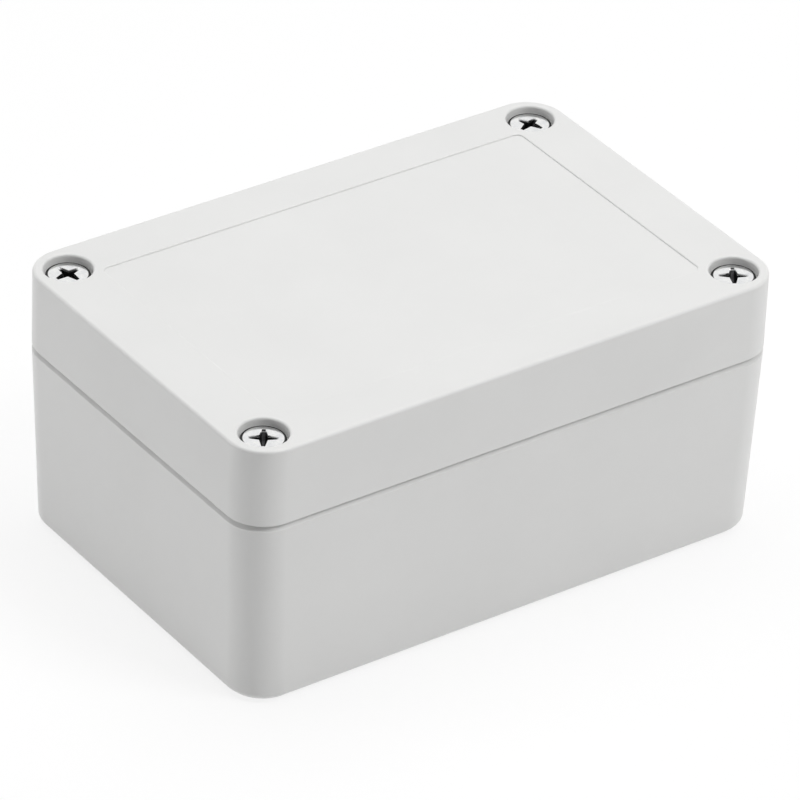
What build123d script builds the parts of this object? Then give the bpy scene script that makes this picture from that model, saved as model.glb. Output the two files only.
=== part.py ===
from build123d import *
import os
from math import radians, tan

# Sealed plastic project box: a deep base and a deep lid drawn together by four corner screws
# that bite in brass inserts. A gasket lies between them, and all screws pass outside of it.
# Millimetres. +Z is up, and the origin is the centre of the underside. X runs along the length.

# Outer form
length = 120.0
width = 79.5
base_height = 39.5
lid_height = 16.1
parting_gap = 0.4
corner_radius = 7.8
end_draft = 2.0
side_draft = 1.0
foot_chamfer = 1.45
rim_chamfer = 0.8
lid_edge_fillet = 0.7

# Panel recess in the lid's top
recess_length = 95.8
recess_width = 58.5
recess_depth = 0.3
recess_radius = 1.5

# Walls
wall = 2.8
floor_thickness = 3.0
lid_top_thickness = 3.0
cavity_draft = 1.0

# Corner blocks, which hold the screws and the mounting wells outside the seal
block_length = 25.0
block_width = 13.5
block_fillet = 3.0
seal_wall = 2.0

# Seal: a tongue on the base enters a groove in the lid that holds the gasket
tongue_thickness = 1.4
tongue_height = 2.6
groove_clearance = 0.15
groove_lip = 1.05
gasket_height = 1.6
gasket_clearance = 0.1

# Lid screws, with a cross recess
screw_inset = 7.0
screw_radius = 1.95
screw_length = 20.0
head_radius = 4.3
head_height = 2.7
head_sink = 1.2
cross_span = 5.8
cross_tip = 0.7
cross_waist = 1.7
cross_depth = 2.0
cross_root_scale = 0.45
cross_angles = (-35.0, -33.0, 10.0, 22.0)

# Washer under each head
washer_radius = 4.2
washer_thickness = 0.8
washer_clearance = 0.2

# Holes for the screws in the lid
counterbore_radius = 4.7
counterbore_chamfer = 0.3
lid_bore_radius = 2.2
lid_column_radius = 6.2
lid_pocket_clearance = 0.75

# Hexagonal brass inserts in the base's columns, standing proud of the rim as stops for the lid
column_radius = 4.6
insert_flats = 5.6
insert_length = 8.4
thread_clearance = 0.05

# Wall mounting holes in the wells
mount_inset = 18.0
mount_hole_radius = 2.25
pad_thickness = 4.0

# Circuit board bosses on the floor
boss_spacing_x = 92.0
boss_spacing_y = 40.0
boss_radius = 3.2
boss_height = 5.0
boss_pilot_radius = 1.25
boss_pilot_depth = 6.0

# Card guides on the long walls
guide_count = 4
guide_pitch = 16.0
guide_slot = 1.8
guide_rib = 1.1
guide_depth = 2.2
guide_top_gap = 4.0
guide_root = 0.5

# Heights and places that follow from the sizes above
lid_foot_z = base_height + parting_gap
top_z = lid_foot_z + lid_height
tongue_top_z = base_height + tongue_height
groove_top_z = tongue_top_z + gasket_height
lid_ceiling_z = top_z - lid_top_thickness
head_foot_z = top_z - head_sink - head_height
shoulder_z = head_foot_z - washer_thickness
insert_foot_z = lid_foot_z - insert_length
screw_x = length / 2 - screw_inset
screw_y = width / 2 - screw_inset
mount_x = length / 2 - mount_inset
CORNERS = {
    "front_left": (-1, -1),
    "front_right": (1, -1),
    "rear_left": (-1, 1),
    "rear_right": (1, 1),
}


def edges_at(solid, z):
    """The edges of a solid that lie flat at one height."""
    return solid.edges().filter_by_position(Axis.Z, z - 0.001, z + 0.001)


def at_corners(x, y, shape):
    """One copy of a shape at each of the four corners, mirrored places of (x, y)."""
    return [Pos(sx * x, sy * y, 0) * shape for sx, sy in CORNERS.values()]


def cavity_plan():
    """Plan of the hollow at the rim: the inside of the walls, notched round the corner blocks."""
    plan = RectangleRounded(length - 2 * wall, width - 2 * wall, corner_radius - wall)
    notch = Rectangle(2 * block_length, 2 * block_width)
    for block in at_corners(length / 2, width / 2, notch):
        plan -= block
    return fillet(plan.vertices(), block_fillet)


def seal_band(outward, inward):
    """Closed band along the seal line, measured outward and inward from the hollow's edge."""
    plan = cavity_plan()
    outer = offset(plan, amount=outward)
    inner = offset(plan, amount=-inward) if inward else plan
    return outer - inner


def well_plan(sx, sy, inset, around):
    """Plan of the well beside one screw column, between the outer wall and the seal wall."""
    x_near = screw_x
    x_far = length / 2 - block_length + seal_wall + inset
    y_near = width / 2 - wall - inset
    y_far = width / 2 - block_width + seal_wall + inset
    centre = Pos(sx * (x_near + x_far) / 2, sy * (y_near + y_far) / 2)
    plan = centre * Rectangle(x_near - x_far, y_near - y_far)
    return plan - Pos(sx * screw_x, sy * screw_y) * Circle(around)


def drafted_profile(size, draft):
    """Elevation of a wall pair that leans in by the draft from the rim down to the foot."""
    lean = base_height * tan(radians(draft))
    rim = size / 2
    foot = rim - lean
    return make_face(Polyline((-foot, 0), (foot, 0), (rim, base_height), (-rim, base_height), close=True))


def base_outside():
    """The base's outer form, drafted more at its ends than along its sides."""
    ends = extrude(Plane.XZ * drafted_profile(length, end_draft), amount=width, both=True)
    sides = extrude(Plane.YZ * drafted_profile(width, side_draft), amount=length, both=True)
    body = ends & sides
    upright = body.edges().filter_by(lambda e: abs(e.tangent_at(0.5).Z) > 0.5)
    body = fillet(upright, corner_radius)
    body = chamfer(edges_at(body, 0), foot_chamfer)
    return chamfer(edges_at(body, base_height), rim_chamfer)


def base_hollow():
    """The base's hollow, narrowing downwards so that the moulding leaves its core."""
    plan = Pos(0, 0, base_height) * cavity_plan()
    return extrude(plan, amount=-(base_height - floor_thickness), taper=cavity_draft)


def board_bosses():
    """Bosses on the floor that take the circuit board's screws."""
    foot = extrude(Circle(boss_radius), amount=boss_height)
    foot = Pos(0, 0, floor_thickness) * foot
    return at_corners(boss_spacing_x / 2, boss_spacing_y / 2, foot)


def board_pilots():
    """Pilot holes down the board bosses."""
    top = floor_thickness + boss_height
    hole = Pos(0, 0, top) * extrude(Circle(boss_pilot_radius), amount=-boss_pilot_depth)
    return at_corners(boss_spacing_x / 2, boss_spacing_y / 2, hole)


def card_guides():
    """Pairs of ribs on both long walls, each pair a slot for the edge of an upright board."""
    ribs = []
    height = base_height - guide_top_gap - floor_thickness
    rib = Box(guide_rib, guide_depth + guide_root, height, align=(Align.CENTER, Align.CENTER, Align.MIN))
    y_mid = width / 2 - wall + guide_root - (guide_depth + guide_root) / 2
    x_step = (guide_slot + guide_rib) / 2
    for i in range(guide_count):
        x_slot = (i - (guide_count - 1) / 2) * guide_pitch
        for side in (-1, 1):
            for edge in (-1, 1):
                ribs.append(Pos(x_slot + edge * x_step, side * y_mid, floor_thickness) * rib)
    return ribs


def make_base():
    """The base: walls, floor, corner columns and wells, tongue, board bosses and card guides."""
    body = base_outside() - base_hollow()
    for sx, sy in CORNERS.values():
        well = Pos(0, 0, pad_thickness) * well_plan(sx, sy, 0.0, column_radius)
        body -= extrude(well, amount=base_height)
    body += board_bosses() + card_guides()
    body -= board_pilots()
    body += extrude(Pos(0, 0, base_height) * seal_band(tongue_thickness, 0.0), amount=tongue_height)
    insert_seat = Pos(0, 0, insert_foot_z) * extrude(insert_plan(), amount=base_height)
    body -= at_corners(screw_x, screw_y, insert_seat)
    mount_hole = extrude(Circle(mount_hole_radius), amount=pad_thickness)
    body -= at_corners(mount_x, screw_y, mount_hole)
    return body


def lid_outside():
    """The lid's outer form with its top edge rounded all round."""
    plan = Pos(0, 0, lid_foot_z) * RectangleRounded(length, width, corner_radius)
    body = extrude(plan, amount=lid_height)
    return fillet(edges_at(body, top_z), lid_edge_fillet)


def screw_bore():
    """The stepped hole for one lid screw: a bore for the shank and a chamfered counterbore for the head."""
    shank = Pos(0, 0, lid_foot_z) * extrude(Circle(lid_bore_radius), amount=lid_height)
    counterbore = Pos(0, 0, shoulder_z) * extrude(Circle(counterbore_radius), amount=lid_height)
    mouth_radius = counterbore_radius + counterbore_chamfer
    mouth_align = (Align.CENTER, Align.CENTER, Align.MAX)
    mouth = Cone(counterbore_radius, mouth_radius, counterbore_chamfer, align=mouth_align)
    return shank + counterbore + Pos(0, 0, top_z) * mouth


def make_lid():
    """The lid: walls, top with its panel recess, gasket groove, screw holes and corner pockets."""
    body = lid_outside()
    body -= at_corners(screw_x, screw_y, screw_bore())
    panel = Pos(0, 0, top_z) * RectangleRounded(recess_length, recess_width, recess_radius)
    body -= extrude(panel, amount=-recess_depth)
    hollow = Pos(0, 0, lid_foot_z) * offset(cavity_plan(), amount=-(groove_clearance + groove_lip))
    body -= extrude(hollow, amount=lid_ceiling_z - lid_foot_z)
    groove = Pos(0, 0, lid_foot_z) * seal_band(tongue_thickness + groove_clearance, groove_clearance)
    body -= extrude(groove, amount=groove_top_z - lid_foot_z)
    for sx, sy in CORNERS.values():
        pocket = Pos(0, 0, lid_foot_z) * well_plan(sx, sy, lid_pocket_clearance, lid_column_radius)
        body -= extrude(pocket, amount=lid_ceiling_z - lid_foot_z)
    return body


def make_gasket():
    """The gasket loop, between the groove's roof and the top of the tongue."""
    slack = groove_clearance - gasket_clearance
    plan = Pos(0, 0, tongue_top_z) * seal_band(tongue_thickness + slack, slack)
    return extrude(plan, amount=gasket_height)


def insert_plan():
    """Hexagon that an insert and its seat share."""
    return RegularPolygon(insert_flats / 2, 6, major_radius=False)


def make_insert(sx, sy):
    """A brass insert, whose top is the face that the lid closes down on."""
    ring = insert_plan() - Circle(screw_radius + thread_clearance)
    return Pos(sx * screw_x, sy * screw_y, insert_foot_z) * extrude(ring, amount=insert_length)


def make_washer(sx, sy):
    """The flat washer between a screw head and its shoulder in the lid."""
    ring = Circle(washer_radius) - Circle(screw_radius + washer_clearance)
    return Pos(sx * screw_x, sy * screw_y, shoulder_z) * extrude(ring, amount=washer_thickness)


def cross_points(share, z):
    """Corners of a cross recess at one height: four arms that narrow from its waist to their tips."""
    reach = share * cross_span / 2
    half_tip = share * cross_tip / 2
    half_waist = share * cross_waist / 2
    points = []
    for turn in (0, 90, 180, 270):
        for x, y in ((reach, -half_tip), (reach, half_tip), (half_waist, half_waist)):
            points.append(Vector(x, y, z).rotate(Axis.Z, turn))
    return points


def flat_face(*corners):
    """A flat face through its corners."""
    return make_face(Polyline(*corners, close=True)).face()


def cross_recess():
    """Cutter for a cross recess that narrows evenly to its root, its mouth at the origin."""
    mouth = cross_points(1.0, 0.0)
    root = cross_points(cross_root_scale, -cross_depth)
    faces = [flat_face(*mouth), flat_face(*root)]
    for i in range(len(mouth)):
        faces.append(flat_face(mouth[i - 1], mouth[i], root[i], root[i - 1]))
    return Solid(Shell(faces))


def make_screw(sx, sy, angle):
    """A lid screw: cylindrical head with a cross recess, and a shank."""
    body = extrude(Circle(head_radius), amount=head_height)
    body += extrude(Circle(screw_radius), amount=-screw_length)
    body -= Pos(0, 0, head_height) * cross_recess()
    return Pos(sx * screw_x, sy * screw_y, head_foot_z) * Rot(0, 0, angle) * body


def make_parts():
    """Every piece of the box by its node's name."""
    parts = {"base": make_base(), "lid": make_lid(), "gasket": make_gasket()}
    for (corner, (sx, sy)), angle in zip(CORNERS.items(), cross_angles):
        parts["insert_" + corner] = make_insert(sx, sy)
        parts["washer_" + corner] = make_washer(sx, sy)
        parts["screw_" + corner] = make_screw(sx, sy, angle)
    return parts


os.makedirs("parts", exist_ok=True)
for name, shape in make_parts().items():
    export_step(shape, "parts/" + name + ".step")
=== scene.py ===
from math import atan2, cos, hypot, pi, radians, sin

import bmesh
import bpy
from mathutils import Matrix, Vector


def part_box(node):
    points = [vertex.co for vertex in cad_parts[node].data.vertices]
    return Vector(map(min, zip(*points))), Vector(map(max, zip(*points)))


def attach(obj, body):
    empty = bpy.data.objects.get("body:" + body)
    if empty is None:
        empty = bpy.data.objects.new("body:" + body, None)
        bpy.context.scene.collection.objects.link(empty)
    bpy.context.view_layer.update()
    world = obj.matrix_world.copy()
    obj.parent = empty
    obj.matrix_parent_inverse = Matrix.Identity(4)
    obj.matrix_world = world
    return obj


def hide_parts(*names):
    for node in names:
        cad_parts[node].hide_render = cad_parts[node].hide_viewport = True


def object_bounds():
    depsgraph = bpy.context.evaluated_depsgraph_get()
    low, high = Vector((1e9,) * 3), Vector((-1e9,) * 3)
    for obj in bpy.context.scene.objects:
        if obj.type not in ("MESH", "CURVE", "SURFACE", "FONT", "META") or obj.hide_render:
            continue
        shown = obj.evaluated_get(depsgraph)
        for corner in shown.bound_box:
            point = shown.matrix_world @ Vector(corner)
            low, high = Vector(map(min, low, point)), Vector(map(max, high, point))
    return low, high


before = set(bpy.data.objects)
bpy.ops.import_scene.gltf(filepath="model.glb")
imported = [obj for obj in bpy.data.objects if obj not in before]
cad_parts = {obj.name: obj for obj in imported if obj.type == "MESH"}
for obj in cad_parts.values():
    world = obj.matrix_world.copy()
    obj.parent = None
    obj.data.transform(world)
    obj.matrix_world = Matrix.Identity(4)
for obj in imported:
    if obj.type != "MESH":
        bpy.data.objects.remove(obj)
cad_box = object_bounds()

MM = 0.001
CORNERS = ("front_left", "front_right", "rear_left", "rear_right")

# Camera, fitted to the photograph's corners and edges
CAMERA_PLACE = (-0.61258, -0.84106, 0.69819)
CAMERA_AZIMUTH = -36.104
CAMERA_ELEVATION = 32.831
CAMERA_ROLL = 2.478
CAMERA_LENS = 294.48
CAMERA_CLIP = (0.05, 20.0)
SENSOR_WIDTH = 36.0

# Studio: light levels, where 1 is white. The floor's glow is its share of plain white, where it is seen and as light
SKY_HORIZON = 0.2
SKY_ZENITH = 0.3
FLOOR_SIZE = 4.0
FLOOR_DROP = 0.05 * MM
FLOOR_GREY = 0.93
FLOOR_ROUGHNESS = 0.9
FLOOR_GLOW_SEEN = 0.8
FLOOR_GLOW_CAST = 0.3

# Softboxes: place, side, power in watts, and whether gloss mirrors them. The glare of the low ones would turn the
# lid's top white, seen from the far side
STUDIO_AIM = (0.0, 0.0, 0.03)
LAMPS = {
    "top": ((0.1, 0.2, 1.3), 1.2, 12.1, True),
    "front_top": ((0.4, -0.75, 1.25), 0.45, 6.15, True),
    "front_right": ((1.0, -1.1, 0.3), 0.6, 3.5, False),
    "left_back": ((-1.1, 1.0, 0.3), 0.6, 4.6, False),
}
FLAG_PLACE = (-1.0, -1.37, 1.3)
FLAG_SIZE = (2.2, 2.6)
FLAG_GREY = 0.01

# Finishes: the two tones between which each varies, as they look from 0 to 255, the range of its roughness, and how
# deep its surface's waves, grain or turning marks are
PLASTIC_TONES = ((218, 218, 217), (221, 221, 220))
PLASTIC_ROUGHNESS = (0.36, 0.43)
PLASTIC_WAVE_DEPTH = 0.01 * MM
PLASTIC_GRAIN_DEPTH = 0.006 * MM
PLATED_TONES = ((226, 227, 228), (238, 238, 237))
PLATED_ROUGHNESS = 0.1
# Painted shade on the screws: the dark tone, and the rougher gloss, painted in the cross recess and in a line at the
# head's edge
PAINTED_SHADE_TONES = ((36, 36, 37), (58, 58, 59))
PAINTED_SHADE_ROUGHNESS = 0.45
STEEL_MARK_DEPTH = 0.002 * MM
BRASS_TONES = ((214, 178, 102), (196, 156, 84))
BRASS_ROUGHNESS = (0.2, 0.34)
BRASS_MARK_DEPTH = 0.004 * MM
NYLON_TONES = ((26, 26, 27), (36, 36, 37))
NYLON_ROUGHNESS = (0.4, 0.5)
NYLON_GRAIN_DEPTH = 0.004 * MM
RUBBER_TONES = ((34, 34, 35), (48, 48, 49))
RUBBER_ROUGHNESS = (0.62, 0.78)
RUBBER_CELL_DEPTH = 0.02 * MM

# Softened edges: the width and the number of facets of each rounding
MOULD_EDGE = (0.18 * MM, 2)
MOUTH_EDGE = (0.2 * MM, 3)
RECESS_EDGE = (0.27 * MM, 5)
FOOT_EDGE = (0.7 * MM, 4)
GASKET_EDGE = (0.4 * MM, 4)
WASHER_EDGE = (0.12 * MM, 2)
INSERT_EDGE = (0.25 * MM, 2)

# Where the edges of the screw holes, the panel recess and the foot lie: reaches and heights
MOUTH_REACH = 5.4 * MM
MOUTH_DEPTH = 0.5 * MM
RECESS_HALF = (48.1 * MM, 29.45 * MM)
FOOT_HEIGHT = 1.6 * MM
FOOT_ZONE = 4.6 * MM

# Tolerances of the mesh work
WELD_DISTANCE = 0.004 * MM
THREAD_WELD = 0.0005 * MM
LEVEL_SLACK = 0.01 * MM
THREAD_TOP_SLACK = 0.001 * MM
TURN_SLACK = 0.001
FLAT_ANGLE = radians(0.6)
SHARP_ANGLE = radians(28.0)
SCREW_SHARP_ANGLE = radians(32.0)
NORMAL_WEIGHT = 100

# Screw head and its cross recess
HEAD_ROUND = 0.3 * MM
HEAD_CROWN = 0.12 * MM
HEAD_FOOT_ROUND = 0.15 * MM
HEAD_SEGMENTS = 96
ROUND_STEPS = 8
CROSS_REACH = 2.85 * MM
CROSS_TIP_HALF = 0.36 * MM
CROSS_INNER = 0.82 * MM
CROSS_FLOOR_REACH = 1.15 * MM
CROSS_FLOOR_HALF = 0.3 * MM
CROSS_FLOOR_INNER = 0.42 * MM
CROSS_DEPTH = 1.9 * MM
CROSS_POINT_DEPTH = 2.35 * MM
CROSS_ANGLES = {"front_left": -35.0, "front_right": -33.0, "rear_left": 10.0, "rear_right": 22.0}

# Painted shade on the screws: how far the painted dark in the cross recess fades in, and how far the painted dark
# line at the head's edge reaches in and down
DARK_START = 0.28 * MM
DARK_FULL = 0.5 * MM
RIM_START = 0.58 * MM
RIM_FULL = 0.46 * MM
RIM_DEPTH = 0.36 * MM
RIM_FADE = 0.06 * MM

# Screw shank, of which the neck reaches a little into the head
NECK_RADIUS = 1.72 * MM
NECK_OVERLAP = 0.05 * MM
CREST_RADIUS = 1.94 * MM
ROOT_RADIUS = 1.6 * MM
THREAD_PITCH = 0.7 * MM
THREAD_LENGTH = 9.0 * MM
THREAD_PROFILE = (ROOT_RADIUS, ROOT_RADIUS, CREST_RADIUS, CREST_RADIUS)
THREAD_SEGMENTS = 48
TIP_RADIUS = 1.35 * MM


def srgb(value):
    """Linear value of one colour channel that is given as it looks, from 0 to 1."""
    return value / 12.92 if value <= 0.04045 else ((value + 0.055) / 1.055) ** 2.4


def colour(r, g, b):
    """Linear colour of one that is given as it looks, from 0 to 255."""
    return (srgb(r / 255), srgb(g / 255), srgb(b / 255), 1.0)


def grey(level):
    """A grey of a linear level."""
    return (level, level, level, 1.0)


class Nodes:
    """Short ways to add and join the nodes of a new material or world, which starts as one shader and its output."""

    # Sockets of the colour form of Blender's Mix node
    MIX_COLOURS = (6, 7)
    MIX_RESULT = 2

    def __init__(self, owner):
        owner.use_nodes = True
        self.owner = owner
        self.tree = owner.node_tree
        self.shader = next(node for node in self.tree.nodes if node.outputs)
        self.surface = next(node for node in self.tree.nodes if not node.outputs).inputs["Surface"]
        self.coordinates = self.add("ShaderNodeTexCoord").outputs
        self.place = self.coordinates["Object"]

    def add(self, kind, **settings):
        """A new node of a kind, with its settings."""
        node = self.tree.nodes.new(kind)
        for key, value in settings.items():
            setattr(node, key, value)
        return node

    def join(self, output, socket):
        self.tree.links.new(output, socket)

    def give(self, value, socket):
        """Joins an output to a socket, or sets the socket to a plain value."""
        if isinstance(value, bpy.types.NodeSocket):
            self.join(value, socket)
        else:
            socket.default_value = value

    def set(self, **values):
        """Gives the shader its values, with _ for the spaces in a socket's name."""
        for key, value in values.items():
            self.give(value, self.shader.inputs[key.replace("_", " ")])

    def noise(self, scale, detail=2.0, roughness=0.5, place=None):
        """Cloudy noise, mostly from 0.3 to 0.7, with scale as its waves to the metre."""
        node = self.add("ShaderNodeTexNoise")
        node.inputs["Scale"].default_value = scale
        node.inputs["Detail"].default_value = detail
        node.inputs["Roughness"].default_value = roughness
        self.join(place or self.place, node.inputs["Vector"])
        return node.outputs["Fac"]

    def spread(self, value, low, high, source=(0.3, 0.7)):
        """Moves a value from the source's range, at first that of noise, to the one from low to high."""
        node = self.add("ShaderNodeMapRange")
        node.inputs["From Min"].default_value = source[0]
        node.inputs["From Max"].default_value = source[1]
        node.inputs["To Min"].default_value = low
        node.inputs["To Max"].default_value = high
        self.join(value, node.inputs["Value"])
        return node.outputs["Result"]

    def blend(self, share, colours):
        """A mix of two colours, by the share of the second."""
        node = self.add("ShaderNodeMix", data_type="RGBA")
        self.join(share, node.inputs["Factor"])
        for value, socket in zip(colours, self.MIX_COLOURS):
            self.give(value, node.inputs[socket])
        return node.outputs[self.MIX_RESULT]

    def tones(self, pair, **texture):
        """A colour that varies between two tones."""
        return self.blend(self.spread(self.noise(**texture), 0.0, 1.0), [colour(*tone) for tone in pair])

    def bump(self, height, distance, before=None):
        """A bumpy normal, on top of an earlier one."""
        node = self.add("ShaderNodeBump")
        node.inputs["Distance"].default_value = distance
        node.inputs["Strength"].default_value = 1.0
        self.join(height, node.inputs["Height"])
        if before is not None:
            self.join(before, node.inputs["Normal"])
        return node.outputs["Normal"]

    def calculate(self, operation, first, second):
        """The result of a sum or comparison of two outputs."""
        node = self.add("ShaderNodeMath", operation=operation)
        self.join(first, node.inputs[0])
        self.join(second, node.inputs[1])
        return node.outputs[0]

    def height_of(self, place):
        """The Z of a place."""
        split = self.add("ShaderNodeSeparateXYZ")
        self.join(place, split.inputs[0])
        return split.outputs["Z"]

    def reach(self):
        """Distance from the piece's own Z axis."""
        flat = self.add("ShaderNodeVectorMath", operation="MULTIPLY")
        flat.inputs[1].default_value = (1, 1, 0)
        self.join(self.place, flat.inputs[0])
        size = self.add("ShaderNodeVectorMath", operation="LENGTH")
        self.join(flat.outputs["Vector"], size.inputs[0])
        return size.outputs["Value"]

    def rings(self, scale):
        """Noise that varies only with the distance from the piece's own Z axis, as turning marks do."""
        line = self.add("ShaderNodeCombineXYZ")
        self.join(self.reach(), line.inputs["X"])
        return self.noise(scale, detail=3.0, place=line.outputs["Vector"])

    def seen_directly(self):
        """1 where the camera, a mirror or glass looks at the surroundings, and 0 for lighting."""
        rays = self.add("ShaderNodeLightPath").outputs
        total = rays["Is Camera Ray"]
        for kind in ("Is Glossy Ray", "Is Transmission Ray"):
            total = self.calculate("MAXIMUM", total, rays[kind])
        return total

    def mix_shaders(self, share, first, second):
        """Ends the tree in a mix of two shaders."""
        mix = self.add("ShaderNodeMixShader")
        self.join(share, mix.inputs[0])
        self.join(first.outputs[0], mix.inputs[1])
        self.join(second.outputs[0], mix.inputs[2])
        self.join(mix.outputs[0], self.surface)


def new_material(name):
    """The nodes of a new material, which is their owner."""
    return Nodes(bpy.data.materials.new(name))


def plastic_material():
    """Light grey moulded plastic: satin, with a very fine spark-eroded grain and faint flow mottling."""
    n = new_material("light_grey_plastic")
    n.set(Base_Color=n.tones(PLASTIC_TONES, scale=38.0, detail=4.0, roughness=0.6))
    n.set(Roughness=n.spread(n.noise(scale=260.0, detail=3.0), *PLASTIC_ROUGHNESS))
    grain = n.bump(n.noise(scale=5200.0), PLASTIC_GRAIN_DEPTH)
    n.set(Normal=n.bump(n.noise(scale=420.0), PLASTIC_WAVE_DEPTH, before=grain))
    return n.owner


def painted_shade_places(n, head_radius, head_height):
    """1 in the cross recess and in the fine line at the edge of the head's top, where dark shade is painted, and 0
    elsewhere.
    """
    height = n.height_of(n.place)
    below = n.spread(height, 1.0, 0.0, (head_height - DARK_FULL, head_height - DARK_START))
    above = n.spread(height, 0.0, 1.0, (0.0, DARK_START))
    within = n.spread(n.reach(), 1.0, 0.0, (CROSS_REACH + DARK_START, CROSS_REACH + DARK_FULL))
    recess = n.calculate("MULTIPLY", n.calculate("MULTIPLY", below, above), within)
    outer = n.spread(n.reach(), 0.0, 1.0, (head_radius - RIM_START, head_radius - RIM_FULL))
    upper = n.spread(height, 0.0, 1.0, (head_height - RIM_DEPTH, head_height - RIM_DEPTH + RIM_FADE))
    return n.calculate("MAXIMUM", recess, n.calculate("MULTIPLY", outer, upper))


def steel_material(head_radius, head_height):
    """Bright plated steel with faint turning marks, and painted shade, dark and rougher, in the cross recess and in
    a line at the head's edge.
    """
    n = new_material("polished_steel")
    plated = n.tones(PLATED_TONES, scale=900.0)
    # Painted shade: a dark tone laid in the cross recess and in the line at the head's edge
    painted_shade_tone = n.tones(PAINTED_SHADE_TONES, scale=1400.0)
    share = painted_shade_places(n, head_radius, head_height)
    n.set(Metallic=1.0, Base_Color=n.blend(share, (plated, painted_shade_tone)))
    n.set(Roughness=n.spread(share, PLATED_ROUGHNESS, PAINTED_SHADE_ROUGHNESS, (0.0, 1.0)))
    n.set(Normal=n.bump(n.rings(scale=9000.0), STEEL_MARK_DEPTH))
    return n.owner


def brass_material():
    """Turned brass, slightly dulled."""
    n = new_material("turned_brass")
    n.set(Metallic=1.0, Base_Color=n.tones(BRASS_TONES, scale=700.0, detail=4.0))
    n.set(Roughness=n.spread(n.noise(scale=1800.0, detail=3.0), *BRASS_ROUGHNESS))
    n.set(Normal=n.bump(n.rings(scale=7000.0), BRASS_MARK_DEPTH))
    return n.owner


def nylon_material():
    """Black nylon, slightly waxy."""
    n = new_material("black_nylon")
    n.set(Base_Color=n.tones(NYLON_TONES, scale=500.0))
    n.set(Roughness=n.spread(n.noise(scale=1500.0), *NYLON_ROUGHNESS))
    n.set(Normal=n.bump(n.noise(scale=4000.0), NYLON_GRAIN_DEPTH))
    return n.owner


def rubber_material():
    """Black elastomer with a fine closed-cell surface."""
    n = new_material("black_elastomer")
    n.set(Base_Color=n.tones(RUBBER_TONES, scale=1200.0, detail=4.0))
    n.set(Roughness=n.spread(n.noise(scale=2000.0), *RUBBER_ROUGHNESS))
    n.set(Normal=n.bump(n.noise(scale=3200.0, detail=3.0), RUBBER_CELL_DEPTH))
    return n.owner


def dress(piece, material):
    """Gives a piece its one material."""
    piece.data.materials.clear()
    piece.data.materials.append(material)


def link(name, bm, place=(0, 0, 0)):
    """A new smooth-shaded object from a bmesh, which is freed."""
    mesh = bpy.data.meshes.new(name)
    bm.to_mesh(mesh)
    bm.free()
    mesh.shade_smooth()
    piece = bpy.data.objects.new(name, mesh)
    piece.location = place
    bpy.context.scene.collection.objects.link(piece)
    return piece


def even_normals(piece):
    """Keeps the large flat faces flat beside the softened edges."""
    modifier = piece.modifiers.new("even_normals", "WEIGHTED_NORMAL")
    modifier.weight = NORMAL_WEIGHT
    modifier.keep_sharp = True


def solid_of(node):
    """A bmesh of a CAD node with whole flat faces instead of triangles."""
    bm = bmesh.new()
    bm.from_mesh(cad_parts[node].data)
    bmesh.ops.remove_doubles(bm, verts=bm.verts, dist=WELD_DISTANCE)
    bmesh.ops.dissolve_limit(bm, angle_limit=FLAT_ANGLE, verts=bm.verts, edges=bm.edges, delimit=set())
    for face in bm.faces:
        face.smooth = True
    return bm


def sharp_edges(bm, wanted):
    """The outer sharp edges of a bmesh that pass a test."""
    found = []
    for edge in bm.edges:
        if len(edge.link_faces) == 2 and edge.is_convex and edge.calc_face_angle(0.0) > SHARP_ANGLE:
            if wanted(edge):
                found.append(edge)
    return found


def round_edges(bm, edges, width, segments):
    """Rounds edges of a bmesh with a bevel of some facets."""
    bmesh.ops.bevel(
        bm, geom=edges, offset=width, offset_type="OFFSET", segments=segments, profile=0.5,
        affect="EDGES", clamp_overlap=True, loop_slide=True, harden_normals=False,
    )


def soft_copy(node, name, material, body, passes):
    """A piece that stands for a CAD node, in its place, with each pass of edges rounded in turn."""
    bm = solid_of(node)
    for wanted, (width, segments) in passes:
        round_edges(bm, sharp_edges(bm, wanted), width, segments)
    bmesh.ops.recalc_face_normals(bm, faces=bm.faces)
    piece = link(name, bm)
    even_normals(piece)
    dress(piece, material)
    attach(piece, body)
    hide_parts(node)
    return piece


def any_edge(edge):
    """Passes each sharp edge."""
    return True


def foot_edge(edge):
    """Whether an edge borders the chamfer round the base's foot."""
    half_length, half_width = cad_box[1][:2]
    for vert in edge.verts:
        outward = max(abs(vert.co.x) - half_length, abs(vert.co.y) - half_width)
        if vert.co.z > FOOT_HEIGHT or outward < -FOOT_ZONE:
            return False
    return True


def mouth_edge(edge):
    """Whether an edge borders the mouth of a screw hole in the lid's top."""
    low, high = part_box("screw_front_right")
    middle = (edge.verts[0].co + edge.verts[1].co) / 2
    reach = hypot(abs(middle.x) - (low.x + high.x) / 2, abs(middle.y) + (low.y + high.y) / 2)
    return reach < MOUTH_REACH and min(v.co.z for v in edge.verts) > cad_box[1][2] - MOUTH_DEPTH


def recess_edge(edge):
    """Whether an edge is the upper edge of the panel recess in the lid's top."""
    for vert in edge.verts:
        inside = abs(vert.co.x) < RECESS_HALF[0] and abs(vert.co.y) < RECESS_HALF[1]
        if not inside or vert.co.z < cad_box[1][2] - LEVEL_SLACK:
            return False
    return True


def make_mouldings(plastic):
    """The base and the lid, with their moulded edges softened."""
    rest = (any_edge, MOULD_EDGE)
    base_passes = [(foot_edge, FOOT_EDGE), rest]
    lid_passes = [(mouth_edge, MOUTH_EDGE), (recess_edge, RECESS_EDGE), rest]
    soft_copy("base", "base_shell", plastic, "base", base_passes)
    soft_copy("lid", "lid_shell", plastic, "lid", lid_passes)


def ring_of(bm, radius, z, segments):
    """One ring of vertices round the Z axis."""
    turn = 2 * pi / segments
    return [bm.verts.new((radius * cos(i * turn), radius * sin(i * turn), z)) for i in range(segments)]


def join_rings(bm, lower, upper):
    """A band of faces between two rings of as many vertices."""
    count = len(lower)
    for i in range(count):
        bm.faces.new((lower[i], lower[(i + 1) % count], upper[(i + 1) % count], upper[i]))


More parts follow.
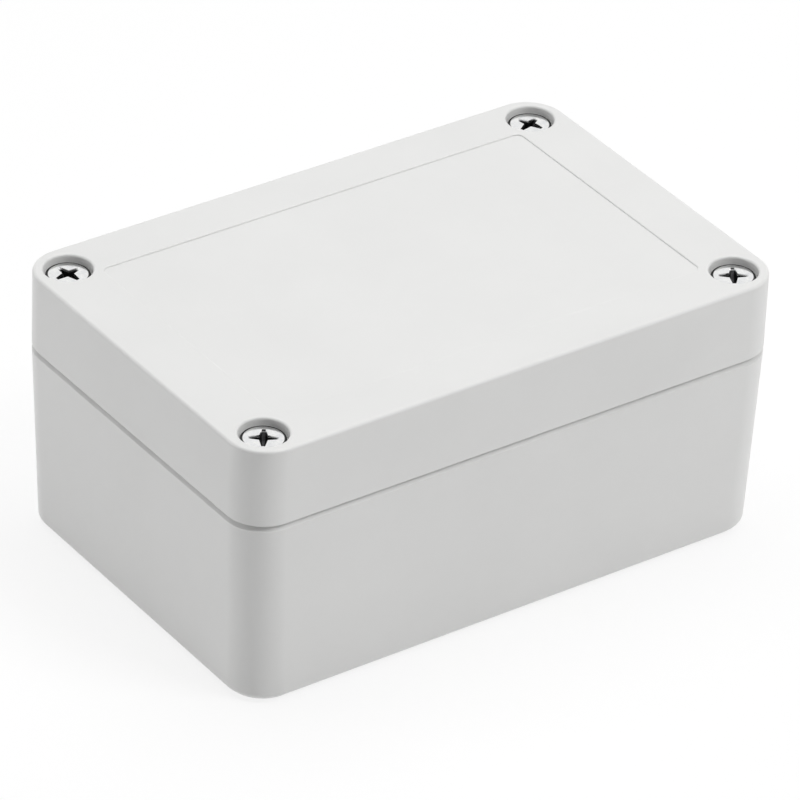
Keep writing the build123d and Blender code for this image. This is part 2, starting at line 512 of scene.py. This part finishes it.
def head_profile(radius, height):
    """Radius and height of points up the head's side and over its crown."""
    quarter = [pi / 2 * i / ROUND_STEPS for i in range(ROUND_STEPS + 1)]
    shoulder = height - HEAD_CROWN - HEAD_ROUND
    flat = radius - HEAD_ROUND
    points = [(radius - HEAD_FOOT_ROUND * (1 - sin(a)), HEAD_FOOT_ROUND * (1 - cos(a))) for a in quarter]
    points += [(radius - HEAD_ROUND * (1 - cos(a)), shoulder + HEAD_ROUND * sin(a)) for a in quarter]
    for i in range(1, ROUND_STEPS):
        r = flat * (1 - i / ROUND_STEPS)
        points.append((r, height - HEAD_CROWN * (r / flat) ** 2))
    return points


def head_mesh(radius, height):
    """The head's solid before its recess is cut."""
    bm = bmesh.new()
    rings = [ring_of(bm, r, z, HEAD_SEGMENTS) for r, z in head_profile(radius, height)]
    for lower, upper in zip(rings, rings[1:]):
        join_rings(bm, lower, upper)
    bm.faces.new(reversed(rings[0]))
    bm.faces.new(rings[-1])
    bmesh.ops.triangulate(bm, faces=[f for f in bm.faces if len(f.verts) > 4])
    return bm


def cross_outline(reach, half, inner):
    """Plan of a cross with pointed arms: tip corners and inner corners in turn."""
    points = []
    for quarter in range(4):
        turn = Matrix.Rotation(quarter * pi / 2, 2)
        for x, y in ((reach, -half), (reach, half), (inner, inner)):
            points.append(turn @ Vector((x, y)))
    return points


def cross_mesh(height):
    """The cutter for the recess: a cross that narrows to its floor and ends in a point."""
    bm = bmesh.new()
    slope = (CROSS_REACH - CROSS_FLOOR_REACH) / CROSS_DEPTH
    mouth = cross_outline(CROSS_REACH + slope * HEAD_CROWN, CROSS_TIP_HALF, CROSS_INNER)
    floor = cross_outline(CROSS_FLOOR_REACH, CROSS_FLOOR_HALF, CROSS_FLOOR_INNER)
    upper = [bm.verts.new((p.x, p.y, height + HEAD_CROWN)) for p in mouth]
    lower = [bm.verts.new((p.x, p.y, height - CROSS_DEPTH)) for p in floor]
    point = bm.verts.new((0, 0, height - CROSS_POINT_DEPTH))
    join_rings(bm, lower, upper)
    bm.faces.new(upper)
    for i in range(len(lower)):
        bm.faces.new((lower[(i + 1) % len(lower)], lower[i], point))
    bmesh.ops.recalc_face_normals(bm, faces=bm.faces)
    return bm


def cut(piece, cutter):
    """Takes one solid out of another and removes the cutter."""
    modifier = piece.modifiers.new("cut", "BOOLEAN")
    modifier.operation = "DIFFERENCE"
    modifier.solver = "EXACT"
    modifier.object = cutter
    graph = bpy.context.evaluated_depsgraph_get()
    mesh = bpy.data.meshes.new_from_object(piece.evaluated_get(graph))
    piece.modifiers.clear()
    piece.data = mesh
    bpy.data.objects.remove(cutter)


def thread_point(share, turn, tip, top):
    """A point of the threaded shank: share counts profile points up the helix, turn is the angle."""
    steps = len(THREAD_PROFILE)
    z = tip + THREAD_PITCH * (share / steps + turn / (2 * pi)) - THREAD_PITCH
    radius = THREAD_PROFILE[share % steps]
    radius = min(radius, TIP_RADIUS + max(z - tip, 0.0))
    if z <= tip:
        z, radius = tip, TIP_RADIUS
    if z >= top:
        z, radius = top, NECK_RADIUS
    return (radius * cos(turn), radius * sin(turn), z)


def helix_grid(bm, tip, top):
    """Rows of vertices that follow the thread up the shank, one turn long each."""
    steps = len(THREAD_PROFILE)
    rows = (round(THREAD_LENGTH / THREAD_PITCH) + 2) * steps
    turn = 2 * pi / THREAD_SEGMENTS
    return [
        [bm.verts.new(thread_point(j, i * turn, tip, top)) for i in range(THREAD_SEGMENTS)] for j in range(rows)
    ]


def thread_faces(bm, grid):
    """The thread's skin: faces along each row, and one that leads on to the row a pitch further up."""
    steps = len(THREAD_PROFILE)
    for j in range(len(grid) - 1):
        row, above = grid[j], grid[j + 1]
        for i in range(THREAD_SEGMENTS - 1):
            bm.faces.new((row[i], row[i + 1], above[i + 1], above[i]))
        if j + steps + 1 < len(grid):
            bm.faces.new((row[-1], grid[j + steps][0], grid[j + steps + 1][0], above[-1]))
    bmesh.ops.remove_doubles(bm, verts=bm.verts, dist=THREAD_WELD)
    bmesh.ops.dissolve_degenerate(bm, edges=bm.edges, dist=THREAD_WELD)


def angle_of(vert):
    """Angle of a vertex round the Z axis, counted from 0 up."""
    a = atan2(vert.co.y, vert.co.x)
    return a if a > -TURN_SLACK else a + 2 * pi


def shank_mesh(length):
    """The shank below the head: a plain neck, then a real helical thread to a chamfered tip."""
    bm = bmesh.new()
    tip = -length
    top = tip + THREAD_LENGTH
    thread_faces(bm, helix_grid(bm, tip, top))
    tip_edges = [e for e in bm.edges if e.is_boundary and abs(e.verts[0].co.z - tip) < LEVEL_SLACK]
    bmesh.ops.edgeloop_fill(bm, edges=tip_edges)
    neck = ring_of(bm, NECK_RADIUS, NECK_OVERLAP, THREAD_SEGMENTS)
    foot = [v for v in bm.verts if v.is_boundary and abs(v.co.z - top) < THREAD_TOP_SLACK]
    join_rings(bm, sorted(foot, key=angle_of), neck)
    bm.faces.new(neck)
    bmesh.ops.recalc_face_normals(bm, faces=bm.faces)
    return bm


def head_size():
    """Radius of a screw head, and its height from the washer's top to the screw's top."""
    low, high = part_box("screw_front_left")
    return (high.x - low.x) / 2, high.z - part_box("washer_front_left")[1].z


def screw_mesh(corner, radius, height, length):
    """A whole screw in a bmesh, with its cross turned as the photograph shows and its origin under the head."""
    cross = cross_mesh(height)
    cross.transform(Matrix.Rotation(radians(CROSS_ANGLES[corner]), 4, "Z"))
    head = link("head_" + corner, head_mesh(radius, height))
    cut(head, link("cross_" + corner, cross))
    shank = bpy.data.meshes.new("shank")
    thread = shank_mesh(length)
    thread.to_mesh(shank)
    thread.free()
    bm = bmesh.new()
    bm.from_mesh(head.data)
    bm.from_mesh(shank)
    bpy.data.objects.remove(head)
    return bm


def make_screws(steel):
    """The four lid screws, each at its CAD node's place."""
    radius, height = head_size()
    for corner in CORNERS:
        node = "screw_" + corner
        low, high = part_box(node)
        washer_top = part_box("washer_" + corner)[1].z
        axis = ((low.x + high.x) / 2, (low.y + high.y) / 2, washer_top)
        bm = screw_mesh(corner, radius, height, washer_top - low.z)
        piece = link("screw_detail_" + corner, bm, axis)
        piece.data.set_sharp_from_angle(angle=SCREW_SHARP_ANGLE)
        dress(piece, steel)
        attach(piece, node)
        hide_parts(node)


def make_small_parts(rubber, brass, nylon):
    """Gasket, inserts and washers with their edges softened."""
    soft_copy("gasket", "gasket_loop", rubber, "lid", [(any_edge, GASKET_EDGE)])
    for corner in CORNERS:
        insert = "insert_" + corner
        washer = "washer_" + corner
        soft_copy(insert, "insert_detail_" + corner, brass, "base", [(any_edge, INSERT_EDGE)])
        soft_copy(washer, "washer_detail_" + corner, nylon, washer, [(any_edge, WASHER_EDGE)])


def make_floor():
    """A plain white light table that keeps the object's shadow."""
    bm = bmesh.new()
    bmesh.ops.create_grid(bm, x_segments=1, y_segments=1, size=FLOOR_SIZE)
    floor = link("floor", bm, (0, 0, -FLOOR_DROP))
    n = new_material("floor_paper")
    n.set(Base_Color=grey(FLOOR_GREY), Roughness=FLOOR_ROUGHNESS, Specular_IOR_Level=0.0)
    share = n.spread(n.seen_directly(), FLOOR_GLOW_CAST, FLOOR_GLOW_SEEN, (0.0, 1.0))
    n.mix_shaders(share, n.shader, n.add("ShaderNodeEmission"))
    floor.data.materials.append(n.owner)


def make_flag():
    """A black card behind the camera, as studios use, which only reflections and light meet."""
    across, high = FLAG_SIZE
    bm = bmesh.new()
    corners = ((-across / 2, -high / 2), (across / 2, -high / 2), (across / 2, high / 2), (-across / 2, high / 2))
    bm.faces.new([bm.verts.new((x, y, 0)) for x, y in corners])
    flag = link("black_flag", bm, FLAG_PLACE)
    flag.rotation_mode = "QUATERNION"
    level_aim = Vector((-FLAG_PLACE[0], -FLAG_PLACE[1], 0))
    flag.rotation_quaternion = level_aim.to_track_quat("Z", "Y")
    flag.visible_camera = False
    n = new_material("black_card")
    n.set(Base_Color=grey(FLAG_GREY), Roughness=1.0, Specular_IOR_Level=0.0)
    flag.data.materials.append(n.owner)


def make_world():
    """Even studio surroundings, brighter overhead, and plain white where they are seen."""
    world = bpy.data.worlds.new("studio")
    bpy.context.scene.world = world
    n = Nodes(world)
    level = n.spread(n.height_of(n.coordinates["Generated"]), SKY_HORIZON, SKY_ZENITH, (0.0, 1.0))
    n.set(Color=grey(1.0), Strength=level)
    seen = n.add("ShaderNodeBackground")
    seen.inputs["Color"].default_value = grey(1.0)
    n.mix_shaders(n.seen_directly(), n.shader, seen)


def make_lights():
    """Square softboxes that face the object."""
    for name, (place, side, power, mirrored) in LAMPS.items():
        data = bpy.data.lights.new(name, "AREA")
        data.shape = "SQUARE"
        data.size = side
        data.energy = power
        lamp = bpy.data.objects.new(name, data)
        lamp.location = place
        lamp.visible_glossy = mirrored
        lamp.rotation_mode = "QUATERNION"
        lamp.rotation_quaternion = (Vector(STUDIO_AIM) - Vector(place)).to_track_quat("-Z", "Y")
        bpy.context.scene.collection.objects.link(lamp)


def make_camera():
    """The camera at the photograph's viewing angle."""
    a = radians(CAMERA_AZIMUTH)
    e = radians(CAMERA_ELEVATION)
    back = Vector((sin(a) * cos(e), -cos(a) * cos(e), sin(e)))
    level = Vector((0, 0, 1)).cross(back).normalized()
    over = back.cross(level)
    roll = radians(CAMERA_ROLL)
    right = level * cos(roll) + over * sin(roll)
    up = over * cos(roll) - level * sin(roll)
    data = bpy.data.cameras.new("camera")
    data.lens = CAMERA_LENS
    data.sensor_width = SENSOR_WIDTH
    data.clip_start, data.clip_end = CAMERA_CLIP
    camera = bpy.data.objects.new("camera", data)
    turn = Matrix((right, up, back)).transposed()
    camera.matrix_world = Matrix.Translation(CAMERA_PLACE) @ turn.to_4x4()
    bpy.context.scene.collection.objects.link(camera)
    bpy.context.scene.camera = camera


make_mouldings(plastic_material())
make_small_parts(rubber_material(), brass_material(), nylon_material())
make_screws(steel_material(*head_size()))
make_floor()
make_flag()
make_world()
make_lights()
make_camera()

bpy.context.scene.view_settings.view_transform = "Standard"
